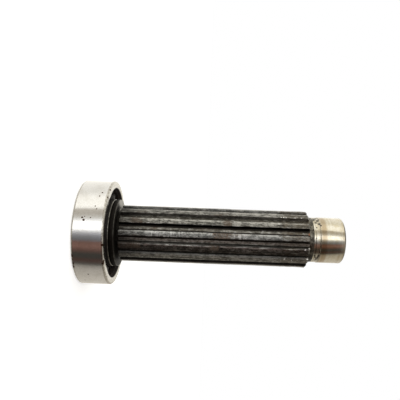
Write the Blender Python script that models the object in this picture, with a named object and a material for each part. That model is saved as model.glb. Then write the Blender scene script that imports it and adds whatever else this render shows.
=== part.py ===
"""Transmission shaft with a deep-groove ball bearing on one end.

Metres, +Z up.  The shaft stands on its bearing end: the world's Z axis is the
shaft's axis, and z = 0 is the end face of the bearing.  Going up the shaft come
the bearing seat, an integral thrust collar, a turned relief, the straight-sided
splines, a turned undercut and the ground journal.
"""
import math

import bmesh
import bpy
from mathutils import Matrix, Vector

# Bearing, from its bore outwards: ring, ball and ring make it 80 mm across
BEARING_BORE = 0.040
RACE_WALL = 0.00355
BALL_DIAMETER = 0.0123
BEARING_WIDTH = 0.0230
BEARING_EDGE_CHAMFER = 0.0013
RACE_DEPTH = 0.0025
RACE_SIDE_CLEARANCE = 0.0003
FACE_RECESS_DEPTH = 0.0009
FACE_RECESS_WIDTH = 0.0026

# Riveted ribbon cage
CAGE_SHEET = 0.0010
CAGE_SIDE_CLEARANCE = 0.0009
CAGE_POCKET_CLEARANCE = 0.0003
RIVET_DIAMETER = 0.0018
RIVET_HEAD_DIAMETER = 0.0032
RIVET_HEAD_HEIGHT = 0.0008
RIVET_HEAD_MARGIN = 0.0009
RIVET_CROWN_WIDTH_SHARE = 0.7
RIVET_CROWN_HEIGHT_SHARE = 0.8

# Shaft, from the bearing end upwards
STUB_RECESS = 0.0010
STUB_CHAMFER = 0.0010
COLLAR_SETBACK = 0.00015
COLLAR_THICKNESS = 0.0037
COLLAR_CHAMFER = 0.0005
RELIEF_WIDTH = 0.0022
RELIEF_BELOW_ROOT = 0.0003
JOURNAL_DIAMETER = 0.0350
ROOT_ABOVE_JOURNAL = 0.0011
TOOTH_HEIGHT = 0.0031
SPLINE_LENGTH = 0.1418
SPLINE_COUNT = 14
TOOTH_WIDTH = 0.0048
TOOTH_EDGE_BREAK = 0.0003
ROOT_FILLET = 0.0005
SPLINE_START_CHAMFER = 0.0003
SPLINE_END_CHAMFER = 0.0010
UNDERCUT_LENGTH = 0.0085
UNDERCUT_DEPTH = 0.0003
TOOL_GROOVE_WIDTH = 0.0010
TOOL_GROOVE_DEPTH = 0.0003
TOOL_GROOVE_SHARES = (0.45, 0.80)
JOURNAL_LENGTH = 0.0272
JOURNAL_CHAMFER = 0.0011
CENTRE_HOLE_MOUTH = 0.0090
CENTRE_HOLE_PILOT = 0.0040
CENTRE_HOLE_PILOT_DEPTH = 0.0060
CENTRE_HOLE_CONE_DEGREES = 60
CENTRE_HOLE_TIP_DEGREES = 118

# Gap kept between pieces that seat on each other
SEAT_GAP = 0.0003

# Fineness of the round forms
SHAFT_SEGMENTS = 70
RING_SEGMENTS = 60
BALL_SEGMENTS = 12
BALL_RINGS = 8
RIVET_SEGMENTS = 8
RACE_ARC_STEPS = 6
EDGE_ARC_STEPS = 2
FLOOR_ARC_STEPS = 2
POCKET_ARC_STEPS = 10
SHARP_EDGE_DEGREES = 32
MERGE_DISTANCE = 1e-6

# Heights along the shaft, from the sizes above
bearing_middle = BEARING_WIDTH / 2
collar_base = BEARING_WIDTH + SEAT_GAP
collar_top = collar_base + COLLAR_THICKNESS
spline_start = collar_top + RELIEF_WIDTH
spline_end = spline_start + SPLINE_LENGTH
shaft_end = spline_end + JOURNAL_LENGTH

# Radii of the bearing, from its bore outwards
ball_radius = BALL_DIAMETER / 2
groove_radius = ball_radius + RACE_SIDE_CLEARANCE
pitch_radius = BEARING_BORE / 2 + RACE_WALL + groove_radius
bearing_radius = pitch_radius + groove_radius + RACE_WALL
inner_shoulder_radius = pitch_radius - groove_radius + RACE_DEPTH
outer_shoulder_radius = pitch_radius + groove_radius - RACE_DEPTH
cage_inner_radius = inner_shoulder_radius + CAGE_SIDE_CLEARANCE
cage_outer_radius = outer_shoulder_radius - CAGE_SIDE_CLEARANCE

# As many balls as leave room in the cage for a rivet between each two
pocket_width = BALL_DIAMETER + 2 * (CAGE_POCKET_CLEARANCE + CAGE_SHEET)
rivet_space = RIVET_HEAD_DIAMETER + 2 * RIVET_HEAD_MARGIN
ball_count = int(math.tau * pitch_radius / (pocket_width + rivet_space))

# Radii of the shaft, from its journal and from the bearing that it carries
journal_radius = JOURNAL_DIAMETER / 2
root_radius = journal_radius + ROOT_ABOVE_JOURNAL
spline_radius = root_radius + TOOTH_HEIGHT
relief_radius = root_radius - RELIEF_BELOW_ROOT
seat_radius = BEARING_BORE / 2 - SEAT_GAP
collar_radius = inner_shoulder_radius - COLLAR_SETBACK


def clear_scene():
    """Remove whatever the file holds, so that only the shaft is left."""
    for existing in list(bpy.data.objects):
        bpy.data.objects.remove(existing, do_unlink=True)


def metal(name, colour, roughness, metallic=1.0):
    """A plain steel with its own colour and roughness."""
    material = bpy.data.materials.new(name)
    material.use_nodes = True
    shader = material.node_tree.nodes["Principled BSDF"]
    shader.inputs["Base Color"].default_value = (*colour, 1.0)
    shader.inputs["Metallic"].default_value = metallic
    shader.inputs["Roughness"].default_value = roughness
    return material


def add_object(name, bm, material, location=(0, 0, 0), smooth_angle=SHARP_EDGE_DEGREES):
    """Turn a bmesh into a named object with smooth rounds and sharp edges."""
    bmesh.ops.recalc_face_normals(bm, faces=bm.faces)
    mesh = bpy.data.meshes.new(name)
    bm.to_mesh(mesh)
    bm.free()
    mesh.shade_smooth()
    mesh.set_sharp_from_angle(angle=math.radians(smooth_angle))
    piece = bpy.data.objects.new(name, mesh)
    piece.location = location
    bpy.context.scene.collection.objects.link(piece)
    if material is not None:
        mesh.materials.append(material)
    return piece


def turned(profile, segments, closed):
    """A solid of revolution about Z from (radius, height) points.

    A closed profile makes a ring.  An open one starts and ends on the axis.
    """
    bm = bmesh.new()
    points = [bm.verts.new((radius, 0, height)) for radius, height in profile]
    edges = [bm.edges.new(pair) for pair in zip(points, points[1:])]
    if closed:
        edges.append(bm.edges.new((points[-1], points[0])))
    bmesh.ops.spin(bm, geom=points + edges, cent=(0, 0, 0), axis=(0, 0, 1),
                   angle=math.tau, steps=segments, use_merge=True)
    bmesh.ops.remove_doubles(bm, verts=bm.verts, dist=MERGE_DISTANCE)
    return bm


def arc(centre, radius, start_deg, end_deg, steps):
    """Points on an arc in the (radius, height) plane, both ends included."""
    points = []
    for step in range(steps + 1):
        angle = math.radians(start_deg + (end_deg - start_deg) * step / steps)
        points.append((centre[0] + radius * math.cos(angle),
                       centre[1] + radius * math.sin(angle)))
    return points


def centre_hole(face_height, inwards):
    """Lathe centre in an end face: a cone over a short drilled pilot.

    The points run from the axis out to the mouth.  inwards is +1 where the
    hole goes up into the shaft and -1 where it goes down.
    """
    mouth = CENTRE_HOLE_MOUTH / 2
    pilot = CENTRE_HOLE_PILOT / 2
    cone_depth = (mouth - pilot) / math.tan(math.radians(CENTRE_HOLE_CONE_DEGREES / 2))
    cone_end = face_height + inwards * cone_depth
    pilot_end = cone_end + inwards * CENTRE_HOLE_PILOT_DEPTH
    tip_depth = pilot / math.tan(math.radians(CENTRE_HOLE_TIP_DEGREES / 2))
    tip_end = pilot_end + inwards * tip_depth
    return [(0, tip_end), (pilot, pilot_end), (pilot, cone_end), (mouth, face_height)]


def undercut_profile():
    """Rough turned stretch between the splines and the ground journal."""
    base = journal_radius - UNDERCUT_DEPTH
    groove_base = base - TOOL_GROOVE_DEPTH
    points = [(base, spline_end)]
    for share in TOOL_GROOVE_SHARES:
        middle = spline_end + UNDERCUT_LENGTH * share
        points.append((base, middle - TOOL_GROOVE_WIDTH / 2))
        points.append((groove_base, middle))
        points.append((base, middle + TOOL_GROOVE_WIDTH / 2))
    points.append((base, spline_end + UNDERCUT_LENGTH))
    points.append((journal_radius, spline_end + UNDERCUT_LENGTH + UNDERCUT_DEPTH))
    return points


def shaft_profile():
    """The turned blank, before the spline grooves are cut."""
    profile = centre_hole(STUB_RECESS, 1)
    profile += [
        (seat_radius - STUB_CHAMFER, STUB_RECESS),
        (seat_radius, STUB_RECESS + STUB_CHAMFER),
        (seat_radius, collar_base),
        (collar_radius - COLLAR_CHAMFER, collar_base),
        (collar_radius, collar_base + COLLAR_CHAMFER),
        (collar_radius, collar_top - COLLAR_CHAMFER),
        (collar_radius - COLLAR_CHAMFER, collar_top),
        (relief_radius, collar_top),
        (relief_radius, spline_start),
        (spline_radius - SPLINE_START_CHAMFER, spline_start),
        (spline_radius, spline_start + SPLINE_START_CHAMFER),
        (spline_radius, spline_end - SPLINE_END_CHAMFER),
        (spline_radius - SPLINE_END_CHAMFER, spline_end),
    ]
    profile += undercut_profile()
    profile += [
        (journal_radius, shaft_end - JOURNAL_CHAMFER),
        (journal_radius - JOURNAL_CHAMFER, shaft_end),
    ]
    profile += reversed(centre_hole(shaft_end, -1))
    return profile


def groove_outline():
    """Cross-section of one spline groove, centred on +X, flanks straight.

    Each flank is parallel to the middle of the tooth beside it.  The outline
    runs from the floor out past the land, with a fillet at the floor and a
    broken edge at the land.
    """
    half_tooth = TOOTH_WIDTH / 2
    half_pitch = math.pi / SPLINE_COUNT
    reach = spline_radius + TOOTH_WIDTH

    def on_flank(radius, back_off):
        """Point on the flank at a radius, moved off it into the groove."""
        side = half_tooth + back_off
        along = math.sqrt(radius ** 2 - side ** 2)
        return (along * math.cos(half_pitch) + side * math.sin(half_pitch),
                along * math.sin(half_pitch) - side * math.cos(half_pitch))

    floor_half_angle = half_pitch - math.asin((half_tooth + ROOT_FILLET) / root_radius)
    upper = [
        on_flank(root_radius + ROOT_FILLET, 0),
        on_flank(spline_radius - TOOTH_EDGE_BREAK, 0),
        on_flank(spline_radius + TOOTH_EDGE_BREAK, -2 * TOOTH_EDGE_BREAK),
        on_flank(reach, -2 * TOOTH_EDGE_BREAK),
    ]
    floor = arc((0, 0), root_radius, -math.degrees(floor_half_angle),
                math.degrees(floor_half_angle), FLOOR_ARC_STEPS)
    lower = [(x, -y) for x, y in reversed(upper)]
    return lower + floor + upper


def spline_cutter():
    """All the grooves as one cutter, from the relief to past the splines.

    The first groove is on +X, which leaves the middle of a tooth on -Y.
    """
    outline = groove_outline()
    bottom = collar_top + RELIEF_WIDTH / 2
    top = spline_end + RELIEF_WIDTH / 2
    bm = bmesh.new()
    for index in range(SPLINE_COUNT):
        turn = Matrix.Rotation(math.tau * index / SPLINE_COUNT, 3, "Z")
        low = [bm.verts.new(turn @ Vector((x, y, bottom))) for x, y in outline]
        face = bm.faces.new(low)
        grown = bmesh.ops.extrude_face_region(bm, geom=[face])
        raised = [item for item in grown["geom"] if isinstance(item, bmesh.types.BMVert)]
        bmesh.ops.translate(bm, verts=raised, vec=(0, 0, top - bottom))
    cutter = add_object("spline_cutter", bm, None)
    cutter.hide_render = True
    cutter.display_type = "WIRE"
    return cutter


def make_shaft(material):
    """One solid: the turned blank with its spline grooves cut out."""
    shaft = add_object("shaft", turned(shaft_profile(), SHAFT_SEGMENTS, False), material)
    cut = shaft.modifiers.new("spline_grooves", "BOOLEAN")
    cut.operation = "DIFFERENCE"
    cut.solver = "EXACT"
    cut.object = spline_cutter()
    return shaft


def race_angle():
    """Half the angle that a race wraps round its ball, in degrees."""
    return math.degrees(math.acos(1 - RACE_DEPTH / groove_radius))


def make_outer_ring(material):
    """Outer ring: ball race, shoulders, recess at each face, broken edges."""
    recess = outer_shoulder_radius + FACE_RECESS_DEPTH
    edge = BEARING_EDGE_CHAMFER
    wrap = race_angle()
    race = arc((pitch_radius, bearing_middle), groove_radius, wrap, -wrap, RACE_ARC_STEPS)
    profile = [
        (recess, BEARING_WIDTH),
        (recess, BEARING_WIDTH - FACE_RECESS_WIDTH),
        (outer_shoulder_radius, BEARING_WIDTH - FACE_RECESS_WIDTH),
    ]
    profile += race
    profile += [
        (outer_shoulder_radius, FACE_RECESS_WIDTH),
        (recess, FACE_RECESS_WIDTH),
        (recess, 0),
    ]
    profile += arc((bearing_radius - edge, edge), edge, -90, 0, EDGE_ARC_STEPS)
    profile += arc((bearing_radius - edge, BEARING_WIDTH - edge), edge, 0, 90, EDGE_ARC_STEPS)
    return add_object("bearing_outer_ring", turned(profile, RING_SEGMENTS, True), material)


def make_inner_ring(material):
    """Inner ring: pressed on the seat, its race facing out."""
    bore = BEARING_BORE / 2
    edge = BEARING_EDGE_CHAMFER
    corner = COLLAR_CHAMFER
    wrap = race_angle()
    race = arc((pitch_radius, bearing_middle), groove_radius,
               180 + wrap, 180 - wrap, RACE_ARC_STEPS)
    profile = [
        (inner_shoulder_radius, corner),
    ]
    profile += race
    profile += [
        (inner_shoulder_radius, BEARING_WIDTH - corner),
        (inner_shoulder_radius - corner, BEARING_WIDTH),
        (bore + edge, BEARING_WIDTH),
        (bore, BEARING_WIDTH - edge),
        (bore, edge),
        (bore + edge, 0),
        (inner_shoulder_radius - corner, 0),
    ]
    return add_object("bearing_inner_ring", turned(profile, RING_SEGMENTS, True), material)


def ball_angle(index):
    """Where a ball sits round the bearing."""
    return math.tau * index / ball_count


def make_balls(material):
    """The balls, each with its origin at its own centre."""
    for index in range(ball_count):
        bm = bmesh.new()
        bmesh.ops.create_uvsphere(bm, u_segments=BALL_SEGMENTS, v_segments=BALL_RINGS,
                                  radius=ball_radius)
        angle = ball_angle(index)
        place = (pitch_radius * math.cos(angle), pitch_radius * math.sin(angle),
                 bearing_middle)
        add_object(f"ball_{index + 1}", bm, material, place, smooth_angle=180)


def pocket_section(side):
    """Lower and upper surface of the sheet over one ball, along the ribbon.

    side is +1 for the half above the balls' middle and -1 for the half below.
    """
    lower_radius = ball_radius + CAGE_POCKET_CLEARANCE
    upper_radius = lower_radius + CAGE_SHEET
    lower_flat = SEAT_GAP / 2
    upper_flat = lower_flat + CAGE_SHEET
    lower_end = math.acos(lower_flat / lower_radius)
    upper_end = math.acos(upper_flat / upper_radius)
    section = []
    for step in range(POCKET_ARC_STEPS + 1):
        share = 2 * step / POCKET_ARC_STEPS - 1
        lower = share * lower_end
        upper = share * upper_end
        section.append((
            (lower_radius * math.sin(lower), side * lower_radius * math.cos(lower)),
            (upper_radius * math.sin(upper), side * upper_radius * math.cos(upper)),
        ))
    return section


def ribbon_point(angle, radius, along, height):
    """A point on the ribbon's edge at a radius, beside the ball at an angle."""
    out = math.sqrt(radius ** 2 - along ** 2)
    return Vector((out * math.cos(angle) - along * math.sin(angle),
                   out * math.sin(angle) + along * math.cos(angle), height))


def rivet_place(index):
    """Angle of the rivet that follows a ball."""
    return ball_angle(index + 0.5)


def rivet_hole_cutter(name):
    """One short cylinder through the sheet at each rivet."""
    bm = bmesh.new()
    depth = 4 * CAGE_SHEET
    for index in range(ball_count):
        angle = rivet_place(index)
        spot = Vector((pitch_radius * math.cos(angle), pitch_radius * math.sin(angle), 0))
        bmesh.ops.create_cone(bm, cap_ends=True, segments=RIVET_SEGMENTS,
                              radius1=RIVET_DIAMETER / 2 + SEAT_GAP,
                              radius2=RIVET_DIAMETER / 2 + SEAT_GAP,
                              depth=depth, matrix=Matrix.Translation(spot))
    cutter = add_object(name, bm, None, (0, 0, bearing_middle))
    cutter.hide_render = True
    cutter.display_type = "WIRE"
    return cutter


def make_cage_half(name, side, material):
    """One pressed ribbon, arched over every ball and flat at every rivet."""
    bm = bmesh.new()
    loops = []
    for index in range(ball_count):
        angle = ball_angle(index)
        for lower, upper in pocket_section(side):
            corners = [
                ribbon_point(angle, cage_inner_radius, *lower),
                ribbon_point(angle, cage_outer_radius, *lower),
                ribbon_point(angle, cage_outer_radius, *upper),
                ribbon_point(angle, cage_inner_radius, *upper),
            ]
            loops.append([bm.verts.new(corner) for corner in corners])
    for here, ahead in zip(loops, loops[1:] + loops[:1]):
        for corner in range(4):
            following = (corner + 1) % 4
            bm.faces.new((here[corner], here[following], ahead[following], ahead[corner]))
    half = add_object(name, bm, material, (0, 0, bearing_middle))
    holes = half.modifiers.new("rivet_holes", "BOOLEAN")
    holes.operation = "DIFFERENCE"
    holes.solver = "EXACT"
    holes.object = rivet_hole_cutter(f"{name}_cutter")
    return half


def make_rivets(material):
    """The rivets that hold the cage halves together, a head on each side."""
    shank = RIVET_DIAMETER / 2
    head = RIVET_HEAD_DIAMETER / 2
    sheet_face = SEAT_GAP / 2 + CAGE_SHEET + SEAT_GAP
    upper = [
        (shank, sheet_face),
        (head, sheet_face),
        (head * RIVET_CROWN_WIDTH_SHARE,
         sheet_face + RIVET_HEAD_HEIGHT * RIVET_CROWN_HEIGHT_SHARE),
        (0, sheet_face + RIVET_HEAD_HEIGHT),
    ]
    lower = [(radius, -height) for radius, height in reversed(upper)]
    for index in range(ball_count):
        angle = rivet_place(index)
        place = (pitch_radius * math.cos(angle), pitch_radius * math.sin(angle),
                 bearing_middle)
        add_object(f"cage_rivet_{index + 1}", turned(lower + upper, RIVET_SEGMENTS, False),
                   material, place)


def main():
    clear_scene()
    spline_steel = metal("oiled_spline_steel", (0.16, 0.15, 0.14), 0.42)
    ring_steel = metal("ground_ring_steel", (0.66, 0.64, 0.60), 0.24)
    race_steel = metal("inner_ring_steel", (0.40, 0.38, 0.35), 0.30)
    ball_steel = metal("ball_steel", (0.55, 0.54, 0.52), 0.12)
    cage_steel = metal("pressed_cage_steel", (0.24, 0.22, 0.20), 0.45)
    rivet_steel = metal("rivet_steel", (0.30, 0.28, 0.26), 0.40)
    make_shaft(spline_steel)
    make_outer_ring(ring_steel)
    make_inner_ring(race_steel)
    make_balls(ball_steel)
    make_cage_half("cage_half_upper", 1, cage_steel)
    make_cage_half("cage_half_lower", -1, cage_steel)
    make_rivets(rivet_steel)


main()
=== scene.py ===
"""Looks of a used splined transmission shaft with its ball bearing.

Metres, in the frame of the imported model: the shaft stands on its bearing end,
Z is its axis and z = 0 is the end face of the bearing.  Every piece of the
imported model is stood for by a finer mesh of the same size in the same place.
Angles round the shaft run from -Y, the front, towards +X.
"""
import math
import random

import bpy
import bmesh
from mathutils import Matrix, Vector, noise


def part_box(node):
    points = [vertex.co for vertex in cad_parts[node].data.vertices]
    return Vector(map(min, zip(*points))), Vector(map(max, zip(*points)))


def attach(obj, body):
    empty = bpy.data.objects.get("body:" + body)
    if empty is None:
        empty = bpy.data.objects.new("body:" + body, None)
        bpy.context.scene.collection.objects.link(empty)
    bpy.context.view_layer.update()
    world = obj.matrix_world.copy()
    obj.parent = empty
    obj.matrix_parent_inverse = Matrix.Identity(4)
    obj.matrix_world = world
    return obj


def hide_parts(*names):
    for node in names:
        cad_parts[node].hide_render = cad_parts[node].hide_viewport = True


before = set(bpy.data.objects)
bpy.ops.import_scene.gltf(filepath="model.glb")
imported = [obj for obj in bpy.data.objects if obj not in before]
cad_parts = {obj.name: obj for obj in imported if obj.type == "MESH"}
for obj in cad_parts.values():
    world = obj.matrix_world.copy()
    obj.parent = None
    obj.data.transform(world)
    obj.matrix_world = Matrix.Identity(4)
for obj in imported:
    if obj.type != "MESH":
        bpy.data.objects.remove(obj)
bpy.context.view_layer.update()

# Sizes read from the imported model
bearing_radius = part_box("bearing_outer_ring")[1].x
bearing_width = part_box("bearing_outer_ring")[1].z
inner_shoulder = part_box("bearing_inner_ring")[1].x
collar_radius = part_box("shaft")[1].x
shaft_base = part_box("shaft")[0].z
shaft_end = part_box("shaft")[1].z
ball_low, ball_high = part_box("ball_1")
ball_radius = (ball_high.z - ball_low.z) / 2
bearing_middle = (ball_high.z + ball_low.z) / 2
pitch_radius = (ball_high.x + ball_low.x) / 2
ball_count = sum(name.startswith("ball_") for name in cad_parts)

# Bearing sizes that the boxes do not show
RACE_SIDE_CLEARANCE = 0.0003
BORE_RADIUS = 0.020
RING_EDGE = 0.0013
FACE_RECESS_DEPTH = 0.0009
FACE_RECESS_WIDTH = 0.0026
CORNER_BREAK = 0.0005
CAGE_SHEET = 0.0010
CAGE_SIDE_CLEARANCE = 0.0009
CAGE_POCKET_CLEARANCE = 0.0003
RIVET_RADIUS = 0.0009
RIVET_HEAD_RADIUS = 0.0016
RIVET_HEAD_HEIGHT = 0.0008
SEAT_GAP = 0.0003
RECESS_EDGE = 0.00022

# Shaft sizes that the boxes do not show
EDGE_BREAK = 0.0002
STUB_CHAMFER = 0.0010
COLLAR_THICKNESS = 0.0037
RELIEF_WIDTH = 0.0022
RELIEF_RADIUS = 0.0183
ROOT_RADIUS = 0.0186
SPLINE_RADIUS = 0.0217
SPLINE_LENGTH = 0.1418
SPLINE_COUNT = 14
TOOTH_WIDTH = 0.0048
ROOT_FILLET = 0.0005
SPLINE_START_CHAMFER = 0.0003
SPLINE_END_CHAMFER = 0.0010
UNDERCUT_LENGTH = 0.0085
UNDERCUT_DEPTH = 0.0003
ROUGH_LENGTH = 0.0036
JOURNAL_RADIUS = 0.0175
JOURNAL_CHAMFER = 0.0011
CENTRE_HOLE_MOUTH = 0.0045
CENTRE_HOLE_PILOT = 0.0020
CENTRE_HOLE_PILOT_DEPTH = 0.0060
CENTRE_HOLE_CONE = math.radians(30)
CENTRE_HOLE_TIP = math.radians(31)

# Heights along the shaft
collar_base = bearing_width + SEAT_GAP
collar_top = collar_base + COLLAR_THICKNESS
spline_start = collar_top + RELIEF_WIDTH
spline_end = spline_start + SPLINE_LENGTH
undercut_end = spline_end + UNDERCUT_LENGTH
rough_end = spline_end + ROUGH_LENGTH

# Wear along the splines: where the first hub ended and how deep it has rubbed, how far
# the grease reaches up, and where the peened end starts
HUB_STEP_HEIGHT = 0.1133
HUB_STEP_DEPTH = 0.00007
GREASE_END = 0.0480
PEENED_START = 0.1505
# Rounding of each tooth's loaded edge, from +X round through +Y
LOADED_EDGES = (0.00025, 0.00015, 0.00045, 0.00020, 0.00035, 0.00015, 0.00050, 0.00020, 0.00030,
                0.00030, 0.00012, 0.00060, 0.00012, 0.00020)
# Rounding of each tooth's other edge
EASY_EDGES = (0.00020, 0.00030, 0.00018, 0.00025, 0.00020, 0.00035, 0.00018, 0.00018, 0.00022,
              0.00065, 0.00035, 0.00020, 0.00020, 0.00015)
EDGE_ROUND_LEAST = 0.00010
EDGE_ROUND_MOST = 0.0011
# How much the rounding wanders along an edge, and what peening adds to it
EDGE_WANDER = 0.55
PEENED_ROUNDING = 0.00018
# Lengths over which the peening sets in, on the edges and on the lands
PEENED_EDGE_RISE = 0.004
PEENED_LAND_RISE = 0.003
# Depth of the step that hubs have rubbed along the loaded side of each land
RUBBED_DEPTHS = (0.00006, 0.00010, 0.00004, 0.00008, 0.00012, 0.00005, 0.00009, 0.00006, 0.00008,
                 0.00009, 0.00010, 0.00020, 0.00013, 0.00006)
RUBBED_FROM = 0.0008
RUBBED_FULL = 0.0020
RUBBED_WANDER = 1.1
RUBBED_LEAST = 0.15
# Stretch of one loaded edge that is rolled into waves: tooth, start, end, rounding that
# the waves add, and waves a metre
ROLLED_TOOTH = 12
ROLLED_START = 0.0900
ROLLED_END = 0.1135
ROLLED_ROUNDING = 0.00028
ROLLED_WAVES = 330
# Nicks in the edges: how many, the share of them in the peened end, how far they stay
# from both ends of the splines, and their sizes
NICK_COUNT = 70
PEENED_NICKS = 0.45
NICK_MARGINS = (0.003, 0.002)
NICK_LENGTHS = (0.0006, 0.0022)
NICK_DEPTHS = (0.0001, 0.0005)
# Unevenness of the splines: waves a metre across and along, then its depth
WAVY = (130, 60, 0.00003)
PITTED = (420, 300, 0.00003)
PEENED = (300, 260, 0.00016)
# Burrs at the splines' end: waves a metre, height, the lowest dip as a share of it, and
# how far in they reach
BURR_WAVES = 260
BURR_HEIGHT = 0.00045
BURR_LEAST = -0.35
BURR_LENGTH = 0.004
# Roughness of the turned surfaces beside the splines, and its layers: their grain round
# and along the shaft, and their share
ROUGH_TURNED = 0.00005
FINE_TURNED = 0.00001
TURNED_LAYERS = ((5, 900, 1.0), (22, 700, 0.6))
# Cutter rings of the undercut: place as a share of its length, depth, and width as a share
CUTTER_RINGS = (
    (0.42, 0.00022, 0.05),
    (0.70, 0.00004, 0.03),
    (0.86, 0.00006, 0.03),
)

# Fineness of the meshes
RING_STEPS = 192
RACE_STEPS = 16
POCKET_STEPS = 24
BALL_SEGMENTS = 36
BALL_ROWS = 20
RIVET_STEPS = 20
UNDERCUT_STEPS = 26
LAND_STEPS = 8
EDGE_STEPS = 4
FLANK_STEPS = 3
FILLET_STEPS = 2
FLOOR_STEPS = 4
SPLINE_ROW_SPACING = 0.00105

# Camera, fitted to the outlines in the photograph
LENS = 39.61
SENSOR_WIDTH = 36.0
VIEW_AZIMUTH = math.radians(5.7)
CAMERA_DISTANCE = 0.3442
CAMERA_ALONG = 0.01039
CAMERA_ACROSS = 0.02820
CAMERA_ROLL = math.radians(2.044)
CAMERA_PITCH = math.radians(-1.106)
AIM_HEIGHT = 0.100

MM = 1000.0

# Directions of the photograph's frame: along the shaft, down the picture, to the camera
picture_along = Vector((0, 0, 1))
picture_down = Vector((math.cos(VIEW_AZIMUTH), math.sin(VIEW_AZIMUTH), 0))
picture_out = Vector((math.sin(VIEW_AZIMUTH), -math.cos(VIEW_AZIMUTH), 0))


# Node graphs

class Graph:
    """A node tree, built one node at a time; most calls return an output socket."""

    def __init__(self, tree):
        self.tree = tree
        self.tree.nodes.clear()

    def node(self, kind, inputs=None, **settings):
        """Add a node, set its settings, and link or set its inputs."""
        made = self.tree.nodes.new(kind)
        for key, value in settings.items():
            setattr(made, key, value)
        for key, value in (inputs or {}).items():
            socket = made.inputs[key]
            if isinstance(value, bpy.types.NodeSocket):
                self.tree.links.new(value, socket)
            elif socket.type == "RGBA":
                socket.default_value = (*value, 1.0)
            else:
                socket.default_value = value
        return made

    def math(self, operation, first, second=0.0):
        return self.node("ShaderNodeMath", {0: first, 1: second}, operation=operation).outputs[0]

    def chain(self, operation, first, *others):
        for other in others:
            first = self.math(operation, first, other)
        return first

    def times(self, *values):
        """The product of the values."""
        return self.chain("MULTIPLY", *values)

    def plus(self, *values):
        """The sum of the values."""
        return self.chain("ADD", *values)

    def most(self, *values):
        """The largest of the values."""
        return self.chain("MAXIMUM", *values)

    def outside(self, mask):
        """1 where the mask is 0."""
        return self.math("SUBTRACT", 1.0, mask)

    def vector(self, operation, first, second):
        return self.node("ShaderNodeVectorMath", {0: first, 1: second},
                         operation=operation).outputs[0]

    def scaled(self, vector, amounts):
        """A vector with each part times its own amount."""
        return self.vector("MULTIPLY", vector, amounts)

    def measure(self, operation, first, second=(0, 0, 0)):
        """A number that is found from one or two vectors."""
        return self.node("ShaderNodeVectorMath", {0: first, 1: second},
                         operation=operation).outputs["Value"]

    def ramp(self, value, low, high, start=0.0, end=1.0):
        """A smooth step of value from low to high, between start and end."""
        return self.node("ShaderNodeMapRange",
                         {"Value": value, "From Min": low, "From Max": high, "To Min": start,
                          "To Max": end}, interpolation_type="SMOOTHSTEP").outputs[0]

    def stops(self, factor, interpolation, rows):
        """A ramp node with a stop for each row: its place and its four numbers."""
        made = self.node("ShaderNodeValToRGB", {"Fac": factor})
        made.color_ramp.interpolation = interpolation
        elements = made.color_ramp.elements
        while len(elements) < len(rows):
            elements.new(1.0)
        for stop, (position, numbers) in zip(elements, rows):
            stop.position = position
            stop.color = numbers
        return made

    def blend(self, factor, first, second):
        """A colour between two."""
        return self.node("ShaderNodeMix", {"Factor": factor, 6: first, 7: second},
                         data_type="RGBA").outputs[2]

    def cover(self, base, colour, *shares):
        """The base under a colour that covers the product of the shares of it."""
        return self.blend(self.times(*shares), base, colour)


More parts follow.
